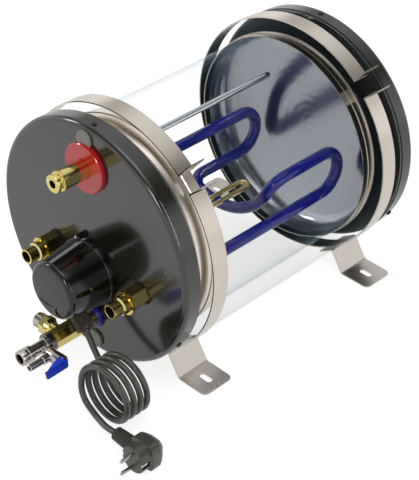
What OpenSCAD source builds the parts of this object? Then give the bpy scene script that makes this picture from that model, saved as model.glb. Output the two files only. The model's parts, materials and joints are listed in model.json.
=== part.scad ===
// Horizontal calorifier for a camper: about 20 litres, held in two straps on four feet.
// The frame: X across, +Y from the fittings to the rear, Z up from the mounting surface,
// origin midway between the four foot slots. Inside it the heater is laid out on its own
// axis, with y counted from the face of the front cover.

/* [Casing] */
// Outer diameter of the two end covers
cover_d = 330; // [315:1:345]
// Length over both covers
casing_l = 422; // [400:1:460]
// Depth of a cover from its face to its lip
cover_depth = 22; // [19:1:24]
// Wall of the covers
cover_wall = 3; // [2.5:0.1:3.5]
// Radius of the edge between a cover's face and its rim
cover_edge_r = 7; // [5:0.5:9]
// How far the jacket stands proud of the covers
jacket_proud = 0.7; // [0.4:0.1:1.2]
// Wall of the clear jacket
jacket_wall = 1.5; // [1:0.1:1.8]
// Number of screws round each cover
cover_screws = 3; // [3:1:6]

/* [Straps and feet] */
// Width of a strap
strap_w = 24; // [20:1:30]
// Thickness of a strap
strap_t = 1.6; // [1.2:0.1:2]
// Distance from the front face to the front strap
strap_front = 44; // [40:1:50]
// Distance from the rear face to the rear strap
strap_rear = 41; // [38:1:50]
// Angle of the middle of a strap's gap, from the right side upwards
gap_angle = 46; // [35:1:55]
// Angle that the gap spans
gap_span = 8; // [6:1:12]
// Height of the ears at a strap's ends
ear_h = 28; // [20:1:34]
// Diameter of the clamp screw holes in the ears
ear_hole_d = 6.5; // [5:0.5:8]
// Height of the heater's axis above the mounting surface
axis_h = 168; // [168:1:180]
// Width of a foot along the heater
foot_w = 50; // [44:1:56]
// Distance from the middle of the heater to a foot's end
foot_reach = 165; // [160:1:180]
// Sheet thickness of the feet
foot_t = 2; // [1.5:0.1:3]
// Width of a foot slot
slot_w = 9; // [6:0.5:10]
// Length of a foot slot over its round ends
slot_l = 19; // [14:1:24]
// Length of a foot's flat plate
foot_plate_l = 45; // [42:1:52]
// Distance from a foot's end to the middle of its slot
slot_end = 23; // [18:1:25]

/* [Tank] */
// Outer diameter of the tank wall
tank_d = 287.6; // [280:0.2:292]
// Wall of the tank and its domes
tank_wall_t = 1.5; // [1:0.1:2]
// Crown radius of the domes
crown_r = 400; // [360:10:460]
// Knuckle radius of the domes
knuckle_r = 25; // [20:1:30]
// Distance from a cover's face to the tip of its dome
dome_gap = 15; // [12:1:18]
// Length of the straight skirt of a dome
skirt_l = 18; // [15:1:22]
// Height of the bead round a skirt
bead_h = 1; // [0.6:0.1:1.5]

/* [Heat exchanger] */
// Outer diameter of the coolant tube
tube_d = 16; // [14:0.5:18]
// Wall of the coolant tube
tube_wall = 1.5; // [1:0.1:2]
// Distance from the middle to the tube runs
run_x = 75; // [70:1:80]
// Height of the left upper run above the axis
run_high_left = 5; // [0:1:10]
// Height of the right upper run above the axis
run_high_right = 9; // [4:1:14]
// Distance between the two runs of a side
run_gap = 62; // [56:1:66]
// Distance from the front face to the middle of the front crossing
crossing_y = 247; // [230:1:260]
// Distance from the rear face to the tips of the rear bends
bend_inset = 38; // [36:1:50]

/* [Front fittings] */
// Height of the hot outlet above the axis
hot_z = 109; // [106:1:112]
// Drop of the cold inlet below the axis
inlet_drop = 112; // [110:1:116]
// Distance of the coolant tails from the middle
coolant_x = 77; // [74:1:82]
// Drop of the coolant tails below the axis
coolant_drop = 42; // [38:1:46]
// Drop of the thermostat below the axis
thermostat_drop = 41; // [38:1:44]
// Distance of the filler plugs from the axis
plug_ring_r = 146.5; // [146:0.5:148]
// Diameter of the filler plugs
filler_d = 24.4; // [22:0.2:25]
// Radius of the hot outlet barrel
hot_r = 12.8; // [11:0.1:14]
// Radius of the hose nose of the hot outlet
hot_tip_r = 11.7; // [11:0.1:12.5]
// Length of the hot outlet in front of the cover
hot_l = 53; // [50:1:58]
// Distance from the front face to the end of the outlet tube
outlet_tube_end = 316; // [300:1:330]
// Radius of the thermostat's body
thermostat_r = 26; // [24:0.5:28]
// Distance from the front face to the front of the thermostat's body
thermostat_l = 40; // [36:1:42]
// Distance from the front face to the end of the thermostat's pocket
pocket_end = 183; // [170:1:200]
// Height of the hexagon on the element's boss
boss_hex_h = 6; // [5:0.5:8]
// Depth of the cord clamp's lower end below the axis
gland_drop = 108; // [106:0.5:110]
// Radius of the red disc
disc_r = 33; // [28:1:35]
// Thickness of the red disc
disc_t = 6; // [4:0.5:7]
// Radius of the blue ring
ring_r = 16; // [14:0.5:17]
// Thickness of the blue ring
ring_t = 5; // [3:0.5:6]
// Outer radius of a coolant tail
tail_r = 10; // [9:0.1:11]
// Bore radius of a coolant tail
tail_bore_r = 7.6; // [6:0.1:8]
// Length of a coolant fitting in front of the cover
coolant_l = 40; // [36:1:44]
// Radius of the threaded shanks that go into the tank's sockets
shank_r = 9; // [8:0.1:9.5]

/* [Valve group] */
// Distance from the front face to the end of the brass body
valve_l = 72; // [68:1:76]
// Distance across the flats of the brass body
valve_flats = 25; // [22:0.5:27]
// Outer radius of the hose barb
barb_r = 8.5; // [7.5:0.1:9.5]
// Distance from the front face to the tip of the hose barb
barb_l = 122; // [118:1:128]
// Distance from the front face to the drain cock's axis
drain_y = 89; // [88:1:91]
// Radius of the drain cock's body
drain_r = 7; // [6:0.1:8]
// Distance from the valve's axis to the end of the drain cock
drain_l = 39; // [36:1:42]
// Radius of the drain nozzle
nozzle_r = 4.8; // [4:0.1:5.5]
// Length of the lever from its axis
lever_l = 29; // [24:1:34]
// Distance from the front face to the relief arm's axis
relief_y = 55; // [52:1:58]
// Radius of the relief cap
relief_cap_r = 9; // [8:0.1:10]

/* [Thermostat cover] */
// Radius of the cover at its front
cap_front_r = 39; // [36:0.5:41]
// Radius of the cover at its base
cap_base_r = 45; // [42:0.5:47]
// Distance from the front face to the front of the cover
cap_l = 66; // [60:1:70]
// Wall of the thermostat cover
cap_wall = 2.5; // [2:0.1:3]
// Thickness of the base plate under the cover
base_t = 9; // [8:0.5:11]

/* [Cord and plug] */
// Diameter of the mains cord
cord_d = 8; // [7:0.5:8.5]
// Middle radius of the cord's coil
coil_r = 38; // [36:0.5:38]
// Step of the coil from turn to turn
coil_pitch = 10.7; // [9.5:0.1:12]
// Diameter of the plug's body
plug_d = 38; // [36:1:38]
// Distance between the plug's pins
pin_gap = 19; // [18:0.5:20]
// Diameter of a plug pin
pin_d = 4.8; // [4:0.1:5]

/* [Hidden] */

fit = 0.3; // running and seating clearance between round faces
fn = 96; // smoothness of the large round pieces
fn_small = 48; // smoothness of the fittings

cover_r = cover_d / 2;
jacket_r = cover_r + jacket_proud;
spigot_r = jacket_r - jacket_wall - fit;
spigot_t = 2.9;
spigot_l = 4;
strap_r = jacket_r + fit;
strap_front_y = strap_front;
strap_rear_y = casing_l - strap_rear - strap_w;
foot_shift = 5; // the feet stand this far behind the middle of their strap
foot_front_y = strap_front_y + strap_w / 2 + foot_shift;
foot_rear_y = strap_rear_y + strap_w / 2 + foot_shift;
face_y = -(foot_front_y + foot_rear_y) / 2;
screw_angles = [for (i = [0 : cover_screws - 1]) 90 + i * 360 / cover_screws];
screw_y = cover_depth / 2;
screw_head_r = 3.6;
screw_shank_r = 1.7;

tank_r = tank_d / 2;
skirt_r = tank_r + fit + tank_wall_t; // outer radius of a dome's skirt
dome_h = crown_r - sqrt(pow(crown_r - knuckle_r, 2) - pow(skirt_r - knuckle_r, 2));
front_tangent_y = dome_gap + dome_h;
rear_tangent_y = casing_l - front_tangent_y;
wall_lap = 8; // how far the tank wall goes into each skirt

hot_x = -3;
inlet_x = 3;
inlet_z = -inlet_drop;
coolant_z = -coolant_drop;
thermostat_z = -thermostat_drop;
filler_x = 5;
socket_wall = 4;
socket_r = shank_r + fit + socket_wall;
boss_r = 24; // socket of the heating element
pocket_rise = 13; // from the element's axis up to the thermostat pocket
element_leg = 7; // from the element's axis to each leg
element_tube_r = 3.4;
element_l = 282;

bend_y = casing_l - bend_inset;
run_low_left = run_high_left - run_gap;
run_low_right = run_high_right - run_gap;

valve_r = valve_flats / 2;
collar_l = 8;
lever_x = inlet_x + drain_l + 2.5;
lever_t = 2.5;
coil_x = 110;
coil_start_y = -43;
coil_z = coil_r + cord_d / 2;
coil_start = 240;
coil_end = 1620;
plug_r = plug_d / 2;
plug_x = 198;
plug_y = -118; // face of the plug
plug_l = 38;
relief_end_x = 152;
slot_x = foot_reach - slot_end;
gland_tip = [24, -32, axis_h - gland_drop];
gland_lean = 40; // the cord leaves the clamp this far from straight down
gland_t = 9.4;
gland_screw_z = [7, 20];

// Points of the cord from the gland to the coil, from the front face and the floor
lead_route = [gland_tip, [30, -32.5, 52.8], [36.5, -33.5, 45.6], [44, -34.5, 38], [52, -36, 31],
    [61, -37.5, 24.6], [70, -39.3, 19.3], [79, -41, 14.6]];
// Points of the cord from the coil to the plug
tail_route = [[74, -85.3, 28], [79.3, -87, 21.5], [87, -88.8, 17], [96.3, -90.5, 14.5],
    [105, -92.5, 13.5], [113, -94.2, 13.2], [121, -96, 13.3], [129, -97.7, 14], [137, -98.9, 15.5],
    [145, -99.7, 17.4]];

// Places a module on the heater's axis, with y from the face of the front cover
module on_axis() { translate([0, face_y, axis_h]) children(); }

// Places a module with y from the face of the front cover and z from the floor
module before_face() { translate([0, face_y, 0]) children(); }

// Turns a profile of [radius, y] points round the Y axis
module around(profile, from = 0, span = 360, sides = fn) {
    rotate([90, 0, 0]) rotate([0, 0, from])
        rotate_extrude(angle = span, $fn = sides) polygon([for (p = profile) [p[0], -p[1]]]);
}

// A cylinder along Y from y0 to y1
module rod_y(r, y0, y1, sides = fn_small) {
    translate([0, y0, 0]) rotate([-90, 0, 0]) cylinder(r = r, h = y1 - y0, $fn = sides);
}

// A cylinder along X from x0 to x1
module rod_x(r, x0, x1, sides = fn_small) {
    translate([x0, 0, 0]) rotate([0, 90, 0]) cylinder(r = r, h = x1 - x0, $fn = sides);
}

// A ring along Y
module ring_y(outer, inner, y0, y1, sides = fn_small) {
    around([[inner, y0], [outer, y0], [outer, y1], [inner, y1]], sides = sides);
}

// Section of a cover as a cup: face at 0, lip at its depth
module cup_section(r, edge, depth) {
    square([r - edge, depth]);
    translate([0, edge]) square([r, depth - edge]);
    translate([r - edge, edge]) circle(r = edge, $fn = 64);
}

// One end cover with its locating spigot and the holes of its rim screws
module cover_shell() {
    difference() {
        rotate([-90, 0, 0]) rotate_extrude($fn = fn) difference() {
            union() {
                cup_section(cover_r, cover_edge_r, cover_depth);
                translate([spigot_r - spigot_t, 0])
                    translate([0, cover_edge_r]) square([spigot_t, cover_depth + spigot_l - cover_edge_r]);
            }
            translate([0, cover_wall]) square([spigot_r - spigot_t - fit, cover_depth + spigot_l]);
        }
        for (a = screw_angles) rotate([0, -a, 0]) translate([0, screw_y, 0])
            rod_x(screw_shank_r + 0.2, cover_r - 12, cover_r + 1);
    }
}

// A pan-head screw through the rim of a cover, head outwards
module rim_screws() {
    for (a = screw_angles) rotate([0, -a, 0]) translate([cover_r, screw_y, 0]) rotate([0, 90, 0]) {
        translate([0, 0, 0.05]) rotate_extrude($fn = fn_small)
            polygon([[0, 0], [screw_head_r, 0], [screw_head_r, 1.2], [screw_head_r - 1, 2.2], [0, 2.4]]);
        translate([0, 0, -4.4]) cylinder(r = screw_shank_r, h = 4.45, $fn = 24);
    }
}

// Mirrors a front piece to the rear end of the casing
module at_rear() { translate([0, casing_l, 0]) mirror([0, 1, 0]) children(); }

// Holes of the front fittings through the cover or the foam
module fitting_holes(extra, y0, y1) {
    translate([hot_x, 0, hot_z]) rod_y(shank_r + extra, y0, y1);
    translate([inlet_x, 0, inlet_z]) rod_y(shank_r + extra, y0, y1);
    for (s = [-1, 1]) translate([s * coolant_x, 0, coolant_z]) rod_y(shank_r + extra, y0, y1);
}

module front_cover() {
    color([0.24, 0.24, 0.23]) on_axis() difference() {
        cover_shell();
        fitting_holes(fit, -1, cover_wall + 1);
        translate([0, 0, thermostat_z]) rod_y(boss_r - 3, -1, cover_wall + 1);
        for (s = [-1, 1]) translate([-s * filler_x, 0, s * plug_ring_r])
            rod_y(filler_d / 2 - 1, -1, cover_wall + 1);
    }
}

module rear_cover() {
    color([0.2, 0.2, 0.19]) on_axis() at_rear() cover_shell();
}

module outer_jacket() {
    color([0.85, 0.95, 0.98, 0.25]) on_axis()
        ring_y(jacket_r, jacket_r - jacket_wall, cover_depth, casing_l - cover_depth, fn);
}

module cover_screws_front() { color([0.1, 0.1, 0.1]) on_axis() rim_screws(); }

module cover_screws_rear() { color([0.1, 0.1, 0.1]) on_axis() at_rear() rim_screws(); }

// Two grey caps over the foaming holes, close under the rim
module filler_plugs() {
    color([0.5, 0.5, 0.48]) on_axis() difference() {
        for (s = [-1, 1]) translate([-s * filler_x, 0, s * plug_ring_r]) {
            rod_y(filler_d / 2, -3, 0);
            rod_y(filler_d / 2 - 1 - fit, 0, cover_wall);
        }
        // the upper one is cut away round the red disc
        translate([hot_x, 0, hot_z]) rod_y(disc_r + fit, -disc_t, cover_wall + 1, fn);
    }
}

// Outline of a dished end: crown and knuckle arcs, tip at y = 0, as [radius, y] points
function dish(r, knuckle, crown, tip, steps = 10) =
    let (turn = acos((r - knuckle) / (crown - knuckle)), drop = crown - tip)
    concat(
        [for (i = [0 : steps]) let (a = (90 - turn) * i / steps) [crown * sin(a), tip + crown * (1 - cos(a))]],
        [for (i = [1 : steps]) let (a = 90 - turn + turn * i / steps)
            [r - knuckle + knuckle * sin(a), tip + crown - (crown - knuckle) * sin(turn) - knuckle * cos(a)]]);

// The steel dome with its skirt and bead, tip towards the cover
module dome_shell() {
    outer = dish(skirt_r, knuckle_r, crown_r, dome_gap);
    inner = dish(skirt_r - tank_wall_t, knuckle_r - tank_wall_t, crown_r - tank_wall_t,
        dome_gap + tank_wall_t);
    lip = front_tangent_y + skirt_l;
    around(concat(outer, [[skirt_r, front_tangent_y + 2], [skirt_r + bead_h, front_tangent_y + 3],
        [skirt_r + bead_h, front_tangent_y + 9], [skirt_r, front_tangent_y + 10],
        [skirt_r, lip], [skirt_r - tank_wall_t, lip]],
        [for (i = [len(inner) - 1 : -1 : 0]) inner[i]]));
}

// Depth of the dome's outer face at a distance from the axis
function dome_y(r) = dome_gap + crown_r - sqrt(crown_r * crown_r - r * r);

// A foam disc between a cover and its dome
module foam_pad(depth) {
    rise = depth - dome_gap + fit;
    seat_r = sqrt(pow(crown_r, 2) - pow(crown_r - rise, 2));
    steps = 8;
    pad_r = spigot_r - spigot_t - 2 * fit;
    around(concat([[0, 6], [pad_r, 6], [pad_r, depth]],
        [for (i = [steps : -1 : 0]) let (r = seat_r * i / steps) [r, dome_y(r) - fit]]));
}

module front_insulation() {
    color([0.12, 0.12, 0.12]) on_axis() difference() {
        foam_pad(cover_depth + spigot_l);
        fitting_holes(fit + socket_wall + fit, 0, 60);
        translate([0, 0, thermostat_z]) rod_y(boss_r + fit, 0, 60);
    }
}

module rear_insulation() {
    color([0.12, 0.12, 0.12]) on_axis() at_rear() foam_pad(cover_depth + spigot_l);
}

module tank_wall() {
    color([0.8, 0.9, 0.95, 0.3]) on_axis() ring_y(tank_r, tank_r - tank_wall_t,
        front_tangent_y + skirt_l - wall_lap, rear_tangent_y - skirt_l + wall_lap, fn);
}

// Front dome with the weld-in sockets that reach the cover
module tank_front_dome() {
    sockets = [[hot_x, hot_z], [inlet_x, inlet_z], [-coolant_x, coolant_z], [coolant_x, coolant_z]];
    color([0.78, 0.78, 0.78]) on_axis() difference() {
        union() {
            dome_shell();
            for (s = sockets) translate([s[0], 0, s[1]])
                rod_y(socket_r, cover_wall, dome_y(norm(s)) + tank_wall_t);
            translate([0, 0, thermostat_z])
                rod_y(boss_r, cover_wall, dome_y(thermostat_drop) + tank_wall_t);
        }
        fitting_holes(fit, cover_wall - 1, 60);
        translate([0, 0, thermostat_z]) rod_y(boss_r - 5, cover_wall - 1, 60);
    }
}

module tank_rear_dome() { color([0.78, 0.78, 0.78]) on_axis() at_rear() dome_shell(); }

// A clamp strap with an ear at each end, standing square to the strap
module strap(y) {
    difference() {
        translate([0, y + strap_w, 0]) rotate([90, 0, 0]) linear_extrude(strap_w) {
            difference() {
                circle(r = strap_r + strap_t, $fn = fn);
                circle(r = strap_r, $fn = fn);
                polygon([[0, 0], for (s = [-1, 1]) 300 * [cos(gap_angle + s * gap_span / 2),
                    sin(gap_angle + s * gap_span / 2)]]);
            }
            for (s = [-1, 1]) rotate(gap_angle + s * gap_span / 2)
                translate([strap_r + strap_t / 2, s > 0 ? 0.4 : -strap_t - 0.4])
                square([ear_h - strap_t / 2, strap_t]);
        }
        for (s = [-1, 1]) rotate([0, -(gap_angle + s * gap_span / 2), 0])
            translate([strap_r + ear_h - 8, y + strap_w / 2, -strap_t - 1])
            cylinder(d = ear_hole_d, h = 2 * strap_t + 2, $fn = 32);
    }
}

module strap_front_band() { color([0.8, 0.77, 0.72]) on_axis() strap(strap_front_y); }

module strap_rear_band() { color([0.8, 0.77, 0.72]) on_axis() strap(strap_rear_y); }

// The line of a bent sheet as a closed outline, the sheet on the right of the line
function sheet(line, t) = let (n = len(line),
    dir = [for (i = [0 : n - 2]) (line[i + 1] - line[i]) / norm(line[i + 1] - line[i])],
    side = [for (d = dir) [d[1], -d[0]]],
    shift = [for (i = [0 : n - 1]) let (a = side[max(i - 1, 0)], b = side[min(i, n - 2)])
        t * (a + b) / (1 + a * b)])
    concat(line, [for (i = [n - 1 : -1 : 0]) line[i] + shift[i]]);

// Rounds one corner of a line with an arc of a few points
function bend(a, p, b, r, steps = 5) = let (u = (a - p) / norm(a - p), v = (b - p) / norm(b - p),
    half = acos(u * v) / 2, m = (u + v) / norm(u + v), c = p + m * r / sin(half),
    from = c - p, s = p + u * r / tan(half) - c, e = p + v * r / tan(half) - c)
    [for (i = [0 : steps]) let (w = s * (1 - i / steps) + e * (i / steps)) c + w * r / norm(w)];

// A rounded plate in plan: x from x0 to x1, y from 0 to w, round corners at x1
module tongue(x0, x1, w, r) {
    translate([x0, 0]) square([x1 - x0 - r, w]);
    translate([x0, r]) square([x1 - x0, w - 2 * r]);
    for (y = [r, w - r]) translate([x1 - r, y]) circle(r = r, $fn = 32);
}

// One foot: a tab on the strap, a sloping leg and the slotted foot plate, for the right side
module foot(y) {
    tab_angle = -58;
    tab_half = 12.5;
    seat = strap_r + strap_t + fit;
    tangent = [-sin(tab_angle), cos(tab_angle)];
    tab_mid = seat * [cos(tab_angle), sin(tab_angle)];
    knee = tab_mid + tab_half * tangent;
    ankle = [foot_reach - foot_plate_l, foot_t - axis_h];
    line = concat([tab_mid - tab_half * tangent], bend(tab_mid, knee, ankle, 3),
        bend(knee, ankle, [foot_reach, ankle[1]], 3), [[foot_reach, ankle[1]]]);
    translate([0, y - foot_w / 2, 0]) difference() {
        intersection() {
            translate([0, foot_w, 0]) rotate([90, 0, 0]) linear_extrude(foot_w)
                polygon(sheet(line, foot_t));
            union() {
                translate([0, 0, -axis_h - 1]) linear_extrude(foot_t + 3)
                    tongue(ankle[0] - 12, foot_reach, foot_w, 8);
                translate([0, 0, ankle[1] + 2]) cube([foot_reach, foot_w, axis_h]);
            }
        }
        translate([0, 0, -axis_h - 1]) {
            for (s = [-1, 1]) translate([slot_x + s * (slot_l - slot_w) / 2, foot_w / 2, 0])
                cylinder(d = slot_w, h = foot_t + 2, $fn = 32);
            translate([slot_x - (slot_l - slot_w) / 2, (foot_w - slot_w) / 2, 0])
                cube([slot_l - slot_w, slot_w, foot_t + 2]);
        }
    }
}

module foot_front_right() { color([0.72, 0.7, 0.68]) on_axis() foot(foot_front_y); }

module foot_rear_right() { color([0.72, 0.7, 0.68]) on_axis() foot(foot_rear_y); }

module foot_front_left() { color([0.72, 0.7, 0.68]) on_axis() mirror([1, 0, 0]) foot(foot_front_y); }

module foot_rear_left() { color([0.72, 0.7, 0.68]) on_axis() mirror([1, 0, 0]) foot(foot_rear_y); }

// Points of an arc with the heading at each: from c + r * u, starting along v, through an angle
function arc(c, u, v, r, angle, n) = [for (i = [0 : n]) let (w = angle * i / n)
    [c + r * (cos(w) * u + sin(w) * v), cos(w) * v - sin(w) * u]];

// A pair of bends from a to b, which differ in y and z only, with the heading +Y at both ends
function lift(a, b, n) = let (d = (b[2] - a[2]) / 2, l = (b[1] - a[1]) / 2,
    r = (l * l + d * d) / 2 / abs(d), up = [0, 0, sign(d)], turn = asin(l / r),
    half = arc(a + r * up, -up, [0, 1, 0], r, turn, n))
    concat(half, [for (i = [n - 1 : -1 : 0]) [a + b - half[i][0], half[i][1]]]);

function reversed(route) = [for (i = [len(route) - 1 : -1 : 0]) [route[i][0], -route[i][1]]];

// One serpentine: socket, left pair of runs, front crossing, right pair of runs, socket
module heat_exchanger() {
    front_y = dome_y(norm([coolant_x, coolant_z])) + tank_wall_t + fit; // just behind its socket
    lift_l = 95;
    turn_y = bend_y - tube_d / 2 - run_gap / 2;
    elbow_r = 24;
    low = [-run_x, crossing_y, run_low_left];
    high = [run_x, crossing_y, run_high_right];
    lean = atan2(high[2] - low[2], 2 * run_x);
    dip = 40; // the crossing sets off and arrives this far below the line between its ends
    across_r = (norm(high - low) - 2 * elbow_r * cos(dip)) / 2 / sin(dip);
    leave = [cos(lean - dip), 0, sin(lean - dip)];
    arrive = [cos(lean + dip), 0, sin(lean + dip)];
    over = [-leave[2], 0, leave[0]];
    first = low + elbow_r * leave;
    last = high - elbow_r * arrive;
    route = concat(
        lift([-run_x, front_y, coolant_z], [-run_x, front_y + lift_l, run_high_left], 4),
        arc([-run_x, turn_y, run_high_left - run_gap / 2], [0, 0, 1], [0, 1, 0], run_gap / 2, 180, 12),
        arc(low + [0, elbow_r, 0] + elbow_r * leave, -leave, [0, -1, 0], elbow_r, 90, 6),
        [for (i = [1 : 5]) arc(first + across_r * over, -over, leave, across_r, 2 * dip, 6)[i]],
        arc(last + [0, elbow_r, 0], [0, -1, 0], arrive, elbow_r, 90, 6),
        arc([run_x, turn_y, run_high_right - run_gap / 2], [0, 0, 1], [0, 1, 0], run_gap / 2, 180, 12),
        reversed(lift([run_x, front_y, coolant_z], [run_x, front_y + lift_l, run_low_right], 4)));
    color([0.1, 0.08, 0.5]) on_axis()
        tube([for (p = route) p[0]], [for (p = route) p[1]], tube_d / 2, 16, tube_d / 2 - tube_wall);
}

// Rises inside the tank from the hot socket
module outlet_tube() {
    color([0.6, 0.6, 0.6]) on_axis() translate([hot_x, 0, hot_z])
        ring_y(4, 3, dome_y(hot_z) - 7, outlet_tube_end, 32);
}

// Hairpin element: two legs and a bend at the far end
module heating_element() {
    bend_start = element_l - element_tube_r - element_leg;
    color([0.75, 0.65, 0.4]) on_axis() translate([0, 0, thermostat_z]) {
        for (s = [-1, 1]) translate([s * element_leg, 0, 0]) rod_y(element_tube_r, -base_t - 4, bend_start, 24);
        translate([0, bend_start, 0]) rotate_extrude(angle = 180, $fn = 48)
            translate([element_leg, 0]) circle(r = element_tube_r, $fn = 24);
    }
}

// Brass screw-in boss that carries the element and the pocket
module element_boss() {
    color([0.75, 0.6, 0.25]) on_axis() translate([0, 0, thermostat_z]) difference() {
        union() {
            rod_y(boss_r + 1, -boss_hex_h, 0, 6);
            rod_y(boss_r - 5 - fit, 0, dome_y(thermostat_drop) + tank_wall_t);
        }
        for (s = [-1, 1]) translate([s * element_leg, 0, 0]) rod_y(element_tube_r + 0.1, -7, 40, 24);
        translate([0, 0, pocket_rise]) rod_y(3.1, -7, 40, 24);
    }
}

module thermostat_pocket() {
    color([0.7, 0.7, 0.7]) on_axis() translate([0, 0, thermostat_z + pocket_rise])
        around([[0, -boss_hex_h], [3, -boss_hex_h], [3, pocket_end - 3], [0, pocket_end]], sides = 24);
}

module outlet_disc() {
    color([0.75, 0.1, 0.08]) on_axis() translate([hot_x, 0, hot_z])
        around([[hot_r + fit, 0], [disc_r, 0], [disc_r, 1 - disc_t], [disc_r - 1, -disc_t],
            [hot_r + fit, -disc_t]], sides = fn);
}

// Hot outlet: barrel through the disc, a groove, a collar and the hose nose
module outlet_fitting() {
    color([0.85, 0.7, 0.3]) on_axis() translate([hot_x, 0, hot_z]) {
        around([[5.4, -hot_l], [hot_tip_r - 0.8, -hot_l], [hot_tip_r, 0.8 - hot_l], [hot_tip_r, 4 - hot_l],
            [hot_tip_r - 0.8, 4.8 - hot_l], [9.8, 5.4 - hot_l], [9.8, 8.5 - hot_l], [hot_r, 9 - hot_l],
            [hot_r + 0.8, 9.6 - hot_l], [hot_r + 0.8, 12.4 - hot_l], [hot_r, 13 - hot_l], [hot_r, 14 - hot_l],
            [hot_r - 0.8, 14.4 - hot_l], [hot_r - 0.8, 15.4 - hot_l], [hot_r, 15.8 - hot_l], [hot_r, 0], [shank_r, 0], [shank_r, dome_y(hot_z)], [4.1, dome_y(hot_z)],
            [4.1, dome_y(hot_z) - 8], [5.4, dome_y(hot_z) - 9]],
            sides = 64);
    }
}

// Hexagon nut of a coolant fitting with its thin flange
module coolant_nut() {
    difference() {
        union() {
            rod_y(14.5, -13, 0, 6);
            rod_y(15.4, -16, -13);
        }
        rod_y(tail_r + 0.8, -17, 1);
    }
}

// Hose tail with a flare at its mouth and the shank into the socket
module coolant_tail() {
    around([[tail_bore_r, -coolant_l], [tail_r, -coolant_l], [tail_r, -coolant_l + 14],
        [tail_r + 2.2, -coolant_l + 15.5], [tail_r + 2.2, -18], [tail_r + 0.5, -16.2],
        [tail_r + 0.5, 0], [shank_r, 0], [shank_r, dome_y(norm([coolant_x, coolant_z]))],
        [6.5, dome_y(norm([coolant_x, coolant_z]))], [6.5, 0], [tail_bore_r, -2]], sides = 64);
}

module coolant_nut_left() { color([0.7, 0.55, 0.2]) on_axis() translate([-coolant_x, 0, coolant_z]) coolant_nut(); }

module coolant_nut_right() { color([0.7, 0.55, 0.2]) on_axis() translate([coolant_x, 0, coolant_z]) coolant_nut(); }

module coolant_tail_left() { color([0.85, 0.68, 0.28]) on_axis() translate([-coolant_x, 0, coolant_z]) coolant_tail(); }

module coolant_tail_right() { color([0.85, 0.68, 0.28]) on_axis() translate([coolant_x, 0, coolant_z]) coolant_tail(); }

// Places a module at the cold inlet's axis
module at_inlet() { on_axis() translate([inlet_x, 0, inlet_z]) children(); }

module inlet_ring() {
    color([0.15, 0.13, 0.5]) at_inlet() around([[shank_r + 1 + fit, 0], [ring_r, 0],
        [ring_r, 1 - ring_t], [ring_r - 1, -ring_t], [shank_r + 1 + fit, -ring_t]], sides = 64);
}

module inlet_nipple() {
    color([0.8, 0.68, 0.3]) at_inlet() around([[5.5, -12], [shank_r + 1, -12], [shank_r + 1, 0],
        [shank_r, 0], [shank_r, dome_y(inlet_drop)], [5.5, dome_y(inlet_drop)]]);
}

// Brass body of the non-return and relief valve: an octagon bar with a side boss
module valve_body() {
    flats_r = valve_r / cos(22.5);
    color([0.85, 0.75, 0.4]) at_inlet() difference() {
        union() {
            rotate([0, 22.5, 0]) rod_y(flats_r, -valve_l, -12, 8);
            translate([0, -relief_y, 0]) rod_x(9, -valve_r - 5, 0);
        }
        rod_y(6, -valve_l - 1, -11);
        translate([0, -relief_y, 0]) rod_x(4, -valve_r - 6, 0);
    }
}

module valve_collar() {
    color([0.6, 0.58, 0.56]) at_inlet() ring_y(valve_r + 0.5, 8, -valve_l - collar_l, -valve_l);
}

// Chrome body and hose barb of the cold inlet, with a side port for the drain cock
module inlet_barb() {
    color([0.85, 0.85, 0.85]) at_inlet() difference() {
        union() {
            around([[0, -barb_l], [barb_r - 1, -barb_l], [barb_r, -barb_l + 3], [barb_r - 1.2, -barb_l + 9],
                [barb_r, -barb_l + 9.5], [barb_r - 1.2, -barb_l + 15], [barb_r - 1.2, -barb_l + 18],
                [10, -barb_l + 19], [10.5, -barb_l + 22], [10.5, -valve_l - collar_l - 2],
                [9.5, -valve_l - collar_l], [7.7, -valve_l - collar_l], [7.7, -valve_l],
                [0, -valve_l]], sides = 64);
            translate([0, -drain_y, 0]) rod_x(5.5, 0, 12);
        }
        rod_y(5.5, -barb_l - 1, -valve_l + 1);
        translate([0, -drain_y, 0]) rod_x(3, 0, 13);
    }
}

// Drain cock body along X, with the bore of its spindle and its nozzle port
module drain_body() {
    color([0.85, 0.85, 0.85]) at_inlet() translate([0, -drain_y, 0]) difference() {
        union() {
            rod_x(drain_r, 12, drain_l - 6);
            rod_x(drain_r - 1.2, drain_l - 6, drain_l);
        }
        rod_x(2.6, drain_l - 12, drain_l + 1);
        translate([21, 0, 0]) rod_y(nozzle_r - 1.2, -drain_r - 1, 0);
    }
}

module drain_nozzle() {
    color([0.85, 0.85, 0.85]) at_inlet() translate([21, -drain_y, 0]) difference() {
        around([[nozzle_r - 2, -36], [nozzle_r - 0.4, -36], [nozzle_r, -35.4], [nozzle_r, -16],
            [nozzle_r + 1.2, -15], [nozzle_r + 1.2, -drain_r + 1.5], [nozzle_r - 2, -drain_r + 1.5]],
            sides = 48);
        rod_x(drain_r + fit, -20, 20);
    }
}

// Blue lever plate with its spindle, pointing forwards from the spindle
module drain_lever() {
    hub = 8;
    tip_r = 4.5;
    color([0.1, 0.25, 0.75]) at_inlet() translate([0, -drain_y, 0]) {
        translate([drain_l + fit, 0, 0]) rotate([0, 90, 0]) linear_extrude(lever_t) union() {
            circle(r = hub, $fn = 48);
            hull() {
                translate([3, -3]) circle(r = 5, $fn = 32);
                translate([7, -lever_l + tip_r]) circle(r = tip_r, $fn = 32);
            }
        }
        rod_x(2.5, drain_l - 11, drain_l + fit);
    }
}

module lever_screw() {
    color([0.8, 0.8, 0.8]) at_inlet() translate([drain_l + fit + lever_t, -drain_y, 0])
        rotate([0, 90, 0]) rotate_extrude($fn = 32)
        polygon([[0, 0], [3.6, 0], [3.6, 1.2], [2.8, 2], [0, 2.2]]);
}

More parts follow.
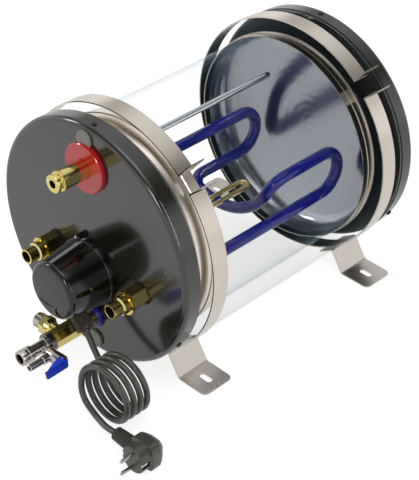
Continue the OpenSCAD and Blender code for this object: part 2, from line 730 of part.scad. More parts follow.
// Brass bonnet of the relief valve, flaring away from the body
module relief_bonnet() {
    x0 = -valve_r - 5;
    color([0.85, 0.72, 0.35]) at_inlet() translate([0, -relief_y, 0]) difference() {
        union() {
            translate([x0, 0, 0]) rotate([0, -90, 0]) cylinder(r1 = 9, r2 = 12, h = 5, $fn = 48);
            rod_x(13, x0 - 14, x0 - 5, 6);
            rod_x(5, x0 - 22, x0 - 14);
        }
        rod_x(2.2, x0 - 23, x0 + 1);
    }
}

// Chrome test cap, slipped over the bonnet's neck and turned by hand
module relief_cap() {
    x0 = -valve_r - 19 - fit;
    color([0.85, 0.85, 0.85]) at_inlet() translate([0, -relief_y, 0]) difference() {
        union() {
            rod_x(relief_cap_r, x0 - 13, x0);
            for (a = [0 : 60 : 300]) rotate([a, 0, 0]) translate([x0 - 12, -1.5, relief_cap_r - 1])
                cube([10, 3, 2]);
        }
        rod_x(5.05, x0 - 9, x0 + 1);
    }
}

// Places a module at the thermostat's axis
module at_thermostat() { on_axis() translate([0, 0, thermostat_z]) children(); }

// Base plate of the thermostat cover, with a screw ear at the top
module cover_base() {
    color([0.12, 0.12, 0.12]) at_thermostat() difference() {
        union() {
            rod_y(cap_base_r + 1, -base_t, 0, 64);
            rotate([0, -110, 0]) translate([cap_base_r + 2, 0, 0]) rod_y(8, -base_t, 0);
        }
        rod_y(30, -base_t - 1, 1, 64);
        rotate([0, -110, 0]) translate([cap_base_r + 5, 0, 0]) rod_y(1.9, -base_t - 1, 1, 24);
    }
}

// Black cover over the thermostat: tapered wall, rounded front edge, shallow round recess
module thermostat_cover() {
    edge = 4;
    w = cap_wall;
    arc = [for (i = [0 : 6]) let (a = i * 15)
        [cap_front_r - edge + edge * cos(a), -cap_l + edge - edge * sin(a)]];
    color([0.1, 0.1, 0.1]) at_thermostat() difference() {
        around(concat([[cap_base_r, -base_t]], arc, [[0, -cap_l], [0, -cap_l + w],
            [cap_front_r - w - 2, -cap_l + w], [cap_base_r - w, -base_t]]), sides = fn);
        rotate([0, 90, 0]) translate([20, 0, 0]) rod_y(9, -cap_l - 1, -cap_l + 1);
    }
}

module cover_base_screw() {
    color([0.7, 0.7, 0.7]) at_thermostat() rotate([0, -110, 0]) translate([cap_base_r + 5, 0, 0])
        around([[0, -base_t - 2.2], [2.4, -base_t - 2], [3.2, -base_t - 1.2], [3.2, -base_t],
            [1.7, -base_t], [1.7, 0], [0, 0]], sides = 32);
}

// Rod thermostat: a round body on the boss with a setting spindle
module thermostat() {
    color([0.2, 0.2, 0.22]) at_thermostat() difference() {
        union() {
            rod_y(thermostat_r, -thermostat_l, -boss_hex_h - fit, 64);
            rod_y(4, -thermostat_l - 10, -thermostat_l);
        }
        for (s = [-1, 1]) translate([s * element_leg, 0, 0]) rod_y(element_tube_r + fit, -base_t - 5, -5, 24);
    }
}

// Terminal block on the thermostat's front
module terminals() {
    color([0.85, 0.85, 0.8]) at_thermostat() translate([-17, -thermostat_l - 12, -20]) cube([34, 12, 12]);
}

// Places a module at the lower end of the cord clamp, up its length
module at_gland() { before_face() translate(gland_tip) rotate([0, -gland_lean, 0]) children(); }

// Cord clamp under the cover, leaning the way the cord leaves
module cable_gland() {
    color([0.22, 0.22, 0.21]) difference() {
        at_gland() difference() {
            union() {
                translate([-gland_t / 2, -10, 3]) cube([gland_t, 20, 42]);
                cylinder(r1 = 5.6, r2 = 6, h = 3, $fn = 48);
            }
            translate([0, 0, -1]) cylinder(r = cord_d / 2 - 0.3, h = 12, $fn = 32);
            for (z = gland_screw_z) translate([0, 0, z]) rod_x(1.3, gland_t / 2 - 3, gland_t / 2 + 1, 24);
        }
        at_thermostat() around([[0, -cap_l - 5], [cap_front_r + fit, -cap_l - 5],
            [cap_front_r + fit, -cap_l + 4], [cap_base_r + fit + 0.2, -base_t], [cap_base_r + 1.3, 5], [0, 5]]);
    }
}

// The two screws that close the clamp
module gland_screws() {
    color([0.7, 0.7, 0.7]) at_gland() for (z = gland_screw_z) translate([0, 0, z]) {
        rod_x(1.1, gland_t / 2 - 2.5, gland_t / 2, 24);
        rod_x(2.2, gland_t / 2, gland_t / 2 + 1.4, 24);
    }
}

// Carries a side direction along a list of headings without twisting it
function carry(headings, side, i = 0) = i == len(headings) ? [] :
    let (w = side - (side * headings[i]) * headings[i], n = w / norm(w))
    concat([n], carry(headings, n, i + 1));

// The headings along a route, with given ones at its ends
function headings(route, first, last) = [for (i = [0 : len(route) - 1]) i == 0 ? first :
    i == len(route) - 1 ? last : (route[i + 1] - route[i - 1]) / norm(route[i + 1] - route[i - 1])];

// A tube swept along a route as one closed surface; a bore of 0 leaves it solid
module tube(route, heads, r, sides, bore = 0) {
    n = len(route);
    turned = carry(heads, [0.03, 0.2, 0.98]);
    rings = [for (q = bore > 0 ? [r, bore] : [r], i = [0 : n - 1], k = [0 : sides - 1])
        let (a = 360 * k / sides) route[i] + q * (cos(a) * turned[i] + sin(a) * cross(heads[i], turned[i]))];
    far = (n - 1) * sides;
    inner = n * sides;
    walls = [for (i = [0 : n - 2], k = [0 : sides - 1]) each let (a = i * sides + k,
        b = i * sides + (k + 1) % sides, c = b + sides, d = a + sides)
        concat([[a, c, b], [a, d, c]],
            bore > 0 ? [[a + inner, b + inner, c + inner], [a + inner, c + inner, d + inner]] : [])];
    ends = bore > 0 ? [for (k = [0 : sides - 1]) each let (a = k, b = (k + 1) % sides)
        [[a, b, b + inner], [a, b + inner, a + inner], [a + far, b + far + inner, b + far],
            [a + far, a + far + inner, b + far + inner]]] :
        [for (k = [1 : sides - 2]) each [[0, k, k + 1], [far, far + k + 1, far + k]]];
    polyhedron(points = rings, faces = concat(walls, ends), convexity = 10);
}

function coil_point(a) = [coil_x + coil_r * cos(a), coil_start_y - coil_pitch * (a - coil_start) / 360,
    coil_z + coil_r * sin(a)];
function coil_heading(a) = let (d = [-coil_r * sin(a), -coil_pitch / (2 * PI), coil_r * cos(a)]) d / norm(d);
coil_in = coil_point(coil_start) - cord_d * coil_heading(coil_start);
coil_out = coil_point(coil_end) + cord_d * coil_heading(coil_end);
coil_route = concat([coil_in], [for (a = [coil_start : 15 : coil_end]) coil_point(a)], [coil_out]);
coil_gap = min([for (i = [0 : len(coil_route) - 1], j = [i + 12 : 1 : len(coil_route) - 1])
    norm(coil_route[i] - coil_route[j])]) - cord_d;
gland_heading = [sin(gland_lean), 0, -cos(gland_lean)];

module cord_lead() {
    route = concat(lead_route, [coil_in]);
    color([0.25, 0.25, 0.24]) before_face()
        tube(route, headings(route, gland_heading, coil_heading(coil_start)), cord_d / 2, 8);
}

module cord_coil() {
    echo(least_gap_of_the_coil_to_itself = coil_gap);
    color([0.25, 0.25, 0.24]) before_face()
        tube(coil_route, headings(coil_route, coil_heading(coil_start), coil_heading(coil_end)), cord_d / 2, 6);
}

module cord_tail() {
    route = concat([coil_out], tail_route, [[relief_end_x, plug_y + plug_l / 2 - 1, plug_r]]);
    color([0.25, 0.25, 0.24]) before_face()
        tube(route, headings(route, coil_heading(coil_end), [1, 0, 0]), cord_d / 2, 8);
}

// Places a module at the middle of the plug's face, pins towards -Y
module at_plug() { before_face() translate([plug_x, plug_y, plug_r]) children(); }

// Round plug body with a stepped rear and the grooves of its earth contacts
module plug_body() {
    color([0.25, 0.25, 0.24]) at_plug() difference() {
        union() {
            around([[0, 0], [plug_r - 2, 0], [plug_r - 1, 1], [plug_r - 1, 14], [plug_r, 15],
                [plug_r, 27], [plug_r - 6, plug_l], [0, plug_l]], sides = 64);
            translate([-plug_r - 3, plug_l / 2 - 9, -8]) cube([plug_r + 3, 16, 16]);
        }
        for (s = [-1, 1]) {
            translate([s > 0 ? plug_r - 4 : -plug_r - 1, -1, -3.5]) cube([5, 12, 7]);
            translate([0, 0, s * pin_gap / 2]) rod_y(pin_d / 2 + 0.1, -1, 10, 32);
        }
        translate([-plug_r - 4, plug_l / 2 - 1, 0]) rod_x(cord_d / 2 + 0.5, 0, 8, 32);
    }
}

// Ribbed strain relief on the side of the plug
module plug_strain_relief() {
    l = plug_x - plug_r - 3 - relief_end_x;
    ribs = 6;
    step = l / ribs;
    profile = [for (i = [0 : ribs - 1]) let (r = 8.6 - 1.4 * i / ribs)
        each [[r, i * step], [r, (i + 0.6) * step], [r - 1.3, (i + 0.6) * step], [r - 1.3, (i + 1) * step]]];
    color([0.22, 0.22, 0.21]) at_plug() translate([-plug_r - 3, plug_l / 2 - 1, 0]) rotate([0, -90, 0])
        rotate_extrude($fn = 48) polygon(concat([[0, 0]], profile, [[0, l]]));
}

module plug_pins() {
    color([0.8, 0.8, 0.8]) at_plug() for (s = [-1, 1]) translate([0, 0, s * pin_gap / 2])
        around([[0, -19], [pin_d / 2 - 0.8, -19], [pin_d / 2, -17.6], [pin_d / 2, 9], [0, 9]], sides = 32);
}

// Earth contacts let into the two sides of the plug
module plug_earth() {
    color([0.8, 0.75, 0.6]) at_plug() for (s = [0, 1]) mirror([s, 0, 0])
        translate([plug_r - 4, 0, -2.5]) cube([1, 11, 5]);
}

front_cover();
rear_cover();
outer_jacket();
cover_screws_front();
cover_screws_rear();
front_insulation();
rear_insulation();
filler_plugs();
strap_front_band();
strap_rear_band();
foot_front_left();
foot_front_right();
foot_rear_left();
foot_rear_right();
tank_wall();
tank_front_dome();
tank_rear_dome();
heat_exchanger();
outlet_tube();
heating_element();
element_boss();
thermostat_pocket();
outlet_disc();
outlet_fitting();
coolant_nut_left();
coolant_nut_right();
coolant_tail_left();
coolant_tail_right();
inlet_ring();
inlet_nipple();
valve_body();
valve_collar();
inlet_barb();
drain_body();
drain_nozzle();
drain_lever();
lever_screw();
relief_bonnet();
relief_cap();
cover_base();
thermostat_cover();
cover_base_screw();
thermostat();
terminals();
cable_gland();
gland_screws();
cord_lead();
cord_coil();
cord_tail();
plug_body();
plug_strain_relief();
plug_pins();
plug_earth();
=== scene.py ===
import json
import math

import bmesh
import bpy
from mathutils import Matrix, Vector


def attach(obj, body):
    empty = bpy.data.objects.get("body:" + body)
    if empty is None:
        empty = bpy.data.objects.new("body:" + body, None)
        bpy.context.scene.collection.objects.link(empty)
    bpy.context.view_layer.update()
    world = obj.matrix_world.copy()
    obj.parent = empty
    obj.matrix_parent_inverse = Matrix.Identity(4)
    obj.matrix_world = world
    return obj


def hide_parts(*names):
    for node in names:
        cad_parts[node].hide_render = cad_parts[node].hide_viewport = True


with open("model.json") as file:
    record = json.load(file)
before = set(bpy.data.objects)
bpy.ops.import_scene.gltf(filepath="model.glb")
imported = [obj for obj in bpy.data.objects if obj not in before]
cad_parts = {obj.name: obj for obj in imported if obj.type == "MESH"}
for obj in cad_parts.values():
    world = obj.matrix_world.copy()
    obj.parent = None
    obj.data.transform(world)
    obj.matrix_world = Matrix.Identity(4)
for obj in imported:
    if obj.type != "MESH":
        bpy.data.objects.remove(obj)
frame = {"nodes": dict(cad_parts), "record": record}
nodes = frame["nodes"]
slotOf = {part["node"]: part["material_slot"] for part in frame["record"]["subparts"]}
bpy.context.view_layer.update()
sceneNow = bpy.context.scene
sceneNow.view_settings.view_transform = "Standard"

# the CAD counts millimetres from the front cover's face (y) and from the heater's axis (z)
layout = {
    "faceY": -217.5,
    "axisZ": 168.0,
}


def atAxis(x, y, z):  # a point of the heater, laid out on its own axis
    return Vector((x, layout["faceY"] + y, layout["axisZ"] + z)) / 1000


def atFloor(x, y, z):  # a point counted from the floor instead
    return Vector((x, layout["faceY"] + y, z)) / 1000


def linearOf(*colour):  # a colour as a screen shows it, 0 to 255, made linear
    return tuple(c / 255 / 12.92 if c <= 10 else ((c / 255 + 0.055) / 1.055) ** 2.4 for c in colour)


# the camera stands where the photograph was taken from
cameraSet = {
    "place": (1.1496, -1.2122, 1.2764),
    "azimuth": 43.66,
    "elevation": 36.01,
    "roll": 1.4,
    "lens": 115.27,
    "sensor": 36,
    "clip": (0.05, 50),
}


def makeCamera(s):
    az, el, roll = (math.radians(s[k]) for k in ("azimuth", "elevation", "roll"))
    back = Vector((math.sin(az) * math.cos(el), -math.cos(az) * math.cos(el), math.sin(el)))
    right = Vector((math.cos(az), math.sin(az), 0))
    up = back.cross(right)
    turnedRight = right * math.cos(roll) + up * math.sin(roll)
    turnedUp = up * math.cos(roll) - right * math.sin(roll)
    data = bpy.data.cameras.new("camera")
    data.lens = s["lens"]
    data.sensor_width = s["sensor"]
    data.clip_start, data.clip_end = s["clip"]
    camera = bpy.data.objects.new("camera", data)
    axes = Matrix((turnedRight, turnedUp, back)).transposed().to_4x4()
    camera.matrix_world = Matrix.Translation(Vector(s["place"])) @ axes
    sceneNow.collection.objects.link(camera)
    sceneNow.camera = camera


makeCamera(cameraSet)
print("camera set")


def addNode(tree, kind, **values):  # values are the node's own settings or what its inputs start from
    node = tree.nodes.new(kind)
    for key, value in values.items():
        if hasattr(node, key):
            setattr(node, key, value)
        else:
            node.inputs[key].default_value = value
    return node


def wire(tree, source, output, target, socket):
    tree.links.new(source.outputs[output], target.inputs[socket])


def worked(tree, operation, first, second=0):  # one sum, of sockets or numbers
    node = addNode(tree, "ShaderNodeMath", operation=operation)
    for i, value in enumerate((first, second)):
        if isinstance(value, (int, float)):
            node.inputs[i].default_value = value
        else:
            tree.links.new(value, node.inputs[i])
    return node.outputs[0]


def shaderOf(material):
    return material.node_tree.nodes["Principled BSDF"]


def newMaterial(name, values):
    material = bpy.data.materials.new(name)
    material.use_nodes = True
    for socket, value in values.items():
        shaderOf(material).inputs[socket].default_value = value
    return material


def finish(name, colour, rough=0.4, metal=0.0, alpha=1.0, coat=0.0, coatRough=0.05, level=0.5):
    return newMaterial(name, {"Base Color": (*linearOf(*colour), 1), "Roughness": rough, "Metallic": metal,
                              "Alpha": alpha, "Coat Weight": coat, "Coat Roughness": coatRough,
                              "Specular IOR Level": level})


# one finish for each slot of the record, and three for pieces that differ from their slot: the rear dome's is
# the tank steel painted darker and warmer as painted shade, and the barb's is chrome that carries painted
# shade in its bore
finishes = {
    "cover_black": finish("lacquerBlack", (25, 23, 16), rough=0.16, coat=0.32, coatRough=0.04, level=0.8),
    "clear_jacket": finish("clearJacket", (150, 205, 225), rough=0.03, alpha=0.004),
    "black_steel": finish("blackScrew", (16, 16, 16), rough=0.25),
    "foam": finish("blackFoam", (14, 14, 14), rough=0.9),
    "plug_grey": finish("plugGrey", (128, 128, 120), rough=0.5),
    "strap_steel": finish("strapSteel", (216, 208, 196), rough=0.2, metal=1.0),
    "foot_steel": finish("footSteel", (206, 200, 192), rough=0.26, metal=1.0),
    "clear_tank": finish("clearTank", (140, 190, 215), rough=0.03, alpha=0.004),
    "tank_steel": finish("tankSteel", (236, 226, 212), rough=0.28, metal=1.0),
    "exchanger_blue": finish("exchangerBlue", (10, 4, 130), rough=0.1, coat=0.3, coatRough=0.03, level=0.35),
    "element_tint": finish("elementTint", (226, 208, 142), rough=0.16, metal=0.9),
    "brass": finish("brass", (224, 207, 132), rough=0.12, metal=1.0),
    "outlet_red": finish("outletRed", (186, 26, 26), rough=0.12, coat=0.5, level=0.5),
    "inlet_blue": finish("inletBlue", (60, 52, 160), rough=0.2, coat=0.4),
    "collar_steel": finish("collarSteel", (120, 116, 112), rough=0.22, metal=1.0),
    "chrome": finish("chrome", (188, 184, 178), rough=0.06, metal=1.0),
    "lever_blue": finish("leverBlue", (16, 60, 205), rough=0.25, coat=0.3),
    "cap_black": finish("capBlack", (9, 9, 8), rough=0.12, coat=0.25, coatRough=0.02, level=0.42),
    "screw_steel": finish("screwSteel", (200, 200, 198), rough=0.2, metal=1.0),
    "terminal_cream": finish("terminalCream", (214, 210, 196), rough=0.5),
    "cord_black": finish("cordBlack", (68, 67, 62), rough=0.28, level=0.6),
    # painted shade: the rear dome's steel, darker and warmer than the tank steel it is made of
    "rear_dome": finish("rearDomeSteelPaintedShade", (170, 160, 146), rough=0.17, metal=1.0),
    "outlet_bright": finish("outletTube", (196, 200, 206), rough=0.08, metal=1.0),
    # painted shade: a copy of the chrome that is darkened in the barb's bore
    "barb_chrome_painted_bore_shade": finish("barbChromePaintedBoreShade", (188, 184, 178), rough=0.06, metal=1.0),
}

# fine lines or speckle: the noise's scale, its stretch along x, y and z, the bump's strength,
# and how far it shifts the colour
grains = {
    "strap_steel": (220, (1, 30, 1), 0.04, 0),
    "foot_steel": (260, (1, 14, 1), 0.05, 0.03),
    "foam": (900, (1, 1, 1), 0.5, 0.3),
    "cord_black": (1400, (1, 1, 1), 0.06, 0),
    "cover_black": (500, (1, 1, 1), 0.012, 0),
    "tank_steel": (240, (1, 1, 24), 0.03, 0),
    "brass": (260, (1, 24, 1), 0.02, 0.05),
    "collar_steel": (260, (1, 24, 1), 0.04, 0.05),
    "plug_grey": (900, (1, 1, 1), 0.08, 0.06),
    "inlet_blue": (700, (1, 1, 1), 0.02, 0.05),
    "terminal_cream": (900, (1, 1, 1), 0.08, 0.04),
    "lever_blue": (700, (1, 1, 1), 0.02, 0.03),
}
grainSet = {
    "detail": 3.0,
    "bumpDistance": 0.0004,
    "dark": 0.3,
    "light": 0.7,
}


def addGrain(s, material, scale, stretch, strength, shift):
    tree, shader = material.node_tree, shaderOf(material)
    place = addNode(tree, "ShaderNodeTexCoord")
    stretched = addNode(tree, "ShaderNodeMapping", Scale=stretch)
    noise = addNode(tree, "ShaderNodeTexNoise", Scale=scale, Detail=s["detail"])
    bump = addNode(tree, "ShaderNodeBump", Strength=strength, Distance=s["bumpDistance"])
    wire(tree, place, "Object", stretched, "Vector")
    wire(tree, stretched, "Vector", noise, "Vector")
    wire(tree, noise, "Fac", bump, "Height")
    wire(tree, bump, "Normal", shader, "Normal")
    if shift:
        base = tuple(shader.inputs["Base Color"].default_value)[:3]
        ramp = addNode(tree, "ShaderNodeValToRGB")
        darker, lighter = ramp.color_ramp.elements
        darker.position, lighter.position = s["dark"], s["light"]
        darker.color = (*(c * (1 - shift) for c in base), 1)
        lighter.color = (*(min(1, c * (1 + shift)) for c in base), 1)
        wire(tree, noise, "Fac", ramp, "Fac")
        wire(tree, ramp, "Color", shader, "Base Color")


# painted reflection and painted shade, as colour near a line along Y: the rear dome's inside is painted a
# cooler blue-grey, the way it looks through the clear tank, and the hose barb's bore is painted darker than
# the barb, where shade falls in it
paintedInsideShades = {
    # painted reflection: a cooler blue-grey inside the dome
    "rear_dome": {"centre": (0, 0, 0), "radius": 144.5, "colour": (168, 172, 178)},
    # painted shade: darker inside the barb's bore
    "barb_chrome_painted_bore_shade": {"centre": (3, 0, -112), "radius": 7.0, "colour": (74, 71, 66)},
}


def addPaintedInsideShade(material, s):  # painted shade: another colour nearer than a radius to a line along Y
    tree, shader = material.node_tree, shaderOf(material)
    place = addNode(tree, "ShaderNodeTexCoord")
    fromLine = addNode(tree, "ShaderNodeVectorMath", operation="SUBTRACT")
    fromLine.inputs[1].default_value = atAxis(*s["centre"])
    across = addNode(tree, "ShaderNodeVectorMath", operation="MULTIPLY")
    across.inputs[1].default_value = (1, 0, 1)
    distance = addNode(tree, "ShaderNodeVectorMath", operation="LENGTH")
    # the painted shade or painted reflection, mixed into the base colour inside the radius
    tint = addNode(tree, "ShaderNodeMix", data_type="RGBA")
    tint.inputs["A"].default_value = (*linearOf(*s["colour"]), 1)
    tint.inputs["B"].default_value = tuple(shader.inputs["Base Color"].default_value)
    wire(tree, place, "Object", fromLine, 0)
    wire(tree, fromLine, "Vector", across, 0)
    wire(tree, across, "Vector", distance, 0)
    outside = worked(tree, "GREATER_THAN", distance.outputs["Value"], s["radius"] / 1000)
    tree.links.new(outside, tint.inputs["Factor"])
    wire(tree, tint, "Result", shader, "Base Color")


# a clear wall shows mostly where it is seen along its surface
clearWalls = {
    "clear_jacket": {"middle": 0.004, "edge": 0.16, "power": 7},
    "clear_tank": {"middle": 0.004, "edge": 0.3, "power": 7},
}


def addEdgeTint(material, s):
    tree = material.node_tree
    weight = addNode(tree, "ShaderNodeLayerWeight", Blend=0.5)
    steep = worked(tree, "POWER", weight.outputs["Facing"], s["power"])
    share = addNode(tree, "ShaderNodeMapRange", **{"To Min": s["middle"], "To Max": s["edge"]})
    tree.links.new(steep, share.inputs["Value"])
    wire(tree, share, "Result", shaderOf(material), "Alpha")


for slotName, grain in grains.items():
    addGrain(grainSet, finishes[slotName], *grain)
# painted reflection inside the rear dome and painted shade in the barb's bore
for slotName, paintedInsideShade in paintedInsideShades.items():
    addPaintedInsideShade(finishes[slotName], paintedInsideShade)
for slotName, clearWall in clearWalls.items():
    addEdgeTint(finishes[slotName], clearWall)

# the rear dome takes its steel with painted shade, and the barb its chrome with painted shade in the bore
ownFinish = {"tank_rear_dome": "rear_dome", "outlet_tube": "outlet_bright"}
for nodeName, nodeObject in nodes.items():
    nodeObject.data.materials.clear()
    nodeObject.data.materials.append(finishes[ownFinish.get(nodeName, slotOf[nodeName])])
print("finishes given to", len(nodes), "nodes")


def makeTube(name, points, radius, slotName, sides=6):  # a round tube that follows a line
    curve = bpy.data.curves.new(name, "CURVE")
    curve.dimensions = "3D"
    curve.bevel_depth = radius
    curve.bevel_resolution = sides
    curve.use_fill_caps = True
    spline = curve.splines.new("POLY")
    spline.points.add(len(points) - 1)
    for spot, point in zip(spline.points, points):
        spot.co = (*point, 1)
    spline.use_smooth = True
    tube = bpy.data.objects.new(name, curve)
    sceneNow.collection.objects.link(tube)
    curve.materials.append(finishes[slotName])
    return tube


def rounded(points, steps):  # a smooth line through the given points
    line = []
    for i in range(len(points) - 1):
        a, b = points[i], points[i + 1]
        before = points[i - 1] if i else a + (a - b)
        after = points[i + 2] if i + 2 < len(points) else b + (b - a)
        for k in range(steps):
            t = k / steps
            line.append(0.5 * ((2 * a) + (b - before) * t + (2 * before - 5 * a + 4 * b - after) * t * t
                               + (3 * a - before - 3 * b + after) * t ** 3))
    return line + [points[-1]]


# mains cord: a lead down from its clamp, a standing coil, and a tail along the floor to the plug
cordSet = {
    "diameter": 8.0,
    "coilX": 110.0,
    "coilRadius": 38.0,
    "coilStartY": -43.0,
    "pitch": 10.7,
    "fromAngle": 240,
    "toAngle": 1620,
    "coilStep": 6,
    "smoothing": 4,
    "lead": [(24, -32, 60), (30, -32.5, 52.8), (36.5, -33.5, 45.6), (44, -34.5, 38), (52, -36, 31),
             (61, -37.5, 24.6), (70, -39.3, 19.3), (79, -41, 14.6)],
    "tail": [(74, -85.3, 28), (79.3, -87, 21.5), (87, -88.8, 17), (96.3, -90.5, 14.5), (105, -92.5, 13.5),
             (113, -94.2, 13.2), (121, -96, 13.3), (129, -97.7, 14), (137, -98.9, 15.5), (145, -99.7, 17.4),
             (152, -100, 19)],
}


def coilPoint(s, angle):
    turn = math.radians(angle)
    return Vector((s["coilX"] + s["coilRadius"] * math.cos(turn),
                   s["coilStartY"] - s["pitch"] * (angle - s["fromAngle"]) / 360,
                   s["coilRadius"] + s["diameter"] / 2 + s["coilRadius"] * math.sin(turn)))


def coilHeading(s, angle):
    turn = math.radians(angle)
    return Vector((-s["coilRadius"] * math.sin(turn), -s["pitch"] / (2 * math.pi),
                   s["coilRadius"] * math.cos(turn))).normalized()


def makeCord(s):
    start, end, step = s["fromAngle"], s["toAngle"], s["coilStep"]
    inPoint = coilPoint(s, start) - s["diameter"] * coilHeading(s, start)
    outPoint = coilPoint(s, end) + s["diameter"] * coilHeading(s, end)
    lead = rounded([Vector(p) for p in s["lead"]] + [inPoint, coilPoint(s, start)], s["smoothing"])
    coil = [coilPoint(s, a) for a in range(start + step, end, step)]
    tail = rounded([coilPoint(s, end), outPoint] + [Vector(p) for p in s["tail"]], s["smoothing"])
    line = [atFloor(*p) for p in lead + coil + tail]
    cord = makeTube("mainsCord", line, s["diameter"] / 2000, "cord_black")
    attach(cord, "heater")
    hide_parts("cord_lead", "cord_coil", "cord_tail")
    return cord, line


mainsCord, cordLine = makeCord(cordSet)


# coolant tube: from each socket a lift and a hairpin, and a dipping run across between the two
exchangerSet = {
    "runX": 75.0,
    "highLeft": 5.0,
    "highRight": 9.0,
    "gap": 62.0,
    "socketZ": -42.0,
    "frontY": 26.53,
    "liftLength": 95.0,
    "turnY": 345.0,
    "crossingY": 247.0,
    "elbow": 24.0,
    "dip": 40.0,
    "diameter": 16.0,
    "liftSteps": 10,
    "turnSteps": 28,
    "elbowSteps": 14,
    "crossingSteps": 20,
    "sides": 10,
}


def arcLine(centre, u, v, radius, angle, steps):
    return [centre + radius * (math.cos(w) * u + math.sin(w) * v)
            for w in (math.radians(angle) * i / steps for i in range(steps + 1))]


def liftLine(a, b, steps):  # two equal arcs that lift a run along Y from a to b
    rise, run = (b.z - a.z) / 2, (b.y - a.y) / 2
    radius = (run * run + rise * rise) / 2 / abs(rise)
    up = Vector((0, 0, math.copysign(1, rise)))
    angle = math.degrees(math.asin(run / radius))
    half = arcLine(a + radius * up, -up, Vector((0, 1, 0)), radius, angle, steps)
    return half + [a + b - p for p in reversed(half[:-1])]


def makeExchanger(s):
    x, elbow, half = s["runX"], s["elbow"], s["gap"] / 2
    low = Vector((-x, s["crossingY"], s["highLeft"] - s["gap"]))
    high = Vector((x, s["crossingY"], s["highRight"]))
    lean, dip = math.atan2(high.z - low.z, 2 * x), math.radians(s["dip"])
    crossing = ((high - low).length - 2 * elbow * math.cos(dip)) / 2 / math.sin(dip)
    leave = Vector((math.cos(lean - dip), 0, math.sin(lean - dip)))
    arrive = Vector((math.cos(lean + dip), 0, math.sin(lean + dip)))
    over = Vector((-leave.z, 0, leave.x))
    ahead, upward = Vector((0, 1, 0)), Vector((0, 0, 1))
    first, last = low + elbow * leave, high - elbow * arrive
    leftFront = Vector((-x, s["frontY"], s["socketZ"]))
    rightFront = Vector((x, s["frontY"], s["socketZ"]))
    leftLift = Vector((-x, s["frontY"] + s["liftLength"], s["highLeft"]))
    rightLift = Vector((x, s["frontY"] + s["liftLength"], s["highRight"] - s["gap"]))
    leftTurn = Vector((-x, s["turnY"], s["highLeft"] - half))
    rightTurn = Vector((x, s["turnY"], s["highRight"] - half))
    line = liftLine(leftFront, leftLift, s["liftSteps"])
    line += arcLine(leftTurn, upward, ahead, half, 180, s["turnSteps"])
    line += arcLine(low + elbow * (ahead + leave), -leave, -ahead, elbow, 90, s["elbowSteps"])
    line += arcLine(first + crossing * over, -over, leave, crossing, 2 * s["dip"], s["crossingSteps"])[1:-1]
    line += arcLine(last + elbow * ahead, -ahead, arrive, elbow, 90, s["elbowSteps"])
    line += arcLine(rightTurn, upward, ahead, half, 180, s["turnSteps"])
    line += list(reversed(liftLine(rightFront, rightLift, s["liftSteps"])))
    line = [atAxis(*p) for p in line]
    tube = makeTube("coolantTube", line, s["diameter"] / 2000, "exchanger_blue", s["sides"])
    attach(tube, "heater")
    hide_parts("heat_exchanger")


makeExchanger(exchangerSet)
print("coolant tube made")


def smoothed(piece, edgeAngle):  # faces outwards, and shading that stops at edges past an angle
    edited = bmesh.new()
    edited.from_mesh(piece.data)
    bmesh.ops.recalc_face_normals(edited, faces=edited.faces)
    for edge in edited.edges:
        edge.smooth = len(edge.link_faces) == 2 and edge.calc_face_angle() < math.radians(edgeAngle)
    for face in edited.faces:
        face.smooth = True
    edited.to_mesh(piece.data)
    edited.free()


def meshPiece(name, verts, faces):
    mesh = bpy.data.meshes.new(name)
    mesh.from_pydata(verts, [], faces)
    piece = bpy.data.objects.new(name, mesh)
    sceneNow.collection.objects.link(piece)
    return piece


def solid(name, verts, faces, slotName, body="heater", edgeAngle=34, cutters=()):
    piece = meshPiece(name, verts, faces)
    for cutter in cutters:
        cut = piece.modifiers.new("cut", "BOOLEAN")
        cut.operation, cut.solver, cut.object = "DIFFERENCE", "EXACT", cutter
    if cutters:
        view = bpy.context.evaluated_depsgraph_get()
        piece.data = bpy.data.meshes.new_from_object(piece.evaluated_get(view))
        piece.modifiers.clear()
        for cutter in cutters:
            bpy.data.objects.remove(cutter)
    smoothed(piece, edgeAngle)
    piece.data.materials.clear()
    piece.data.materials.append(finishes[slotName])
    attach(piece, body)
    return piece


def turned(profile, centre, sides, along="y", mesh=None):
    # turns a closed outline of (radius, distance) about a line through centre, and adds it to a mesh
    # where one is given
    verts, faces = mesh or ([], [])
    axis = Vector((0, 1, 0)) if along == "y" else Vector((1, 0, 0))
    side = Vector((0, 0, 1))
    other = axis.cross(side)
    rings = []
    for radius, distance in profile:
        count = sides if radius else 1
        rings.append(list(range(len(verts), len(verts) + count)))
        for k in range(count):
            turn = math.tau * k / sides
            verts.append(atAxis(*(Vector(centre) + axis * distance
                                  + radius * (math.cos(turn) * side + math.sin(turn) * other))))
    for a, b in zip(rings, rings[1:] + rings[:1]):
        for k in range(sides):
            n = (k + 1) % sides
            if len(a) > 1 and len(b) > 1:
                faces.append((a[k], a[n], b[n], b[k]))
            elif len(a) > 1:
                faces.append((a[k], a[n], b[0]))
            elif len(b) > 1:
                faces.append((a[0], b[n], b[k]))
    return verts, faces


def ringFaces(first, count):  # the faces between a ring of points and the next one
    return [(first + k, first + (k + 1) % count, first + count + (k + 1) % count, first + count + k)
            for k in range(count)]


def addPlate(lower, upper, mesh):  # between two outlines with as many points each
    verts, faces = mesh
    first, count = len(verts), len(lower)
    verts += lower + upper
    faces += [tuple(range(first, first + count)), tuple(range(first + count, first + 2 * count))]
    faces += ringFaces(first, count)


def acrossGroove(radius, s):  # down to a groove's floor and up again; mouth and floor are half widths
    low = radius - s["depth"]
    return [(radius, s["middle"] - s["mouth"]), (low, s["middle"] - s["floor"]),
            (low, s["middle"] + s["floor"]), (radius, s["middle"] + s["mouth"])]


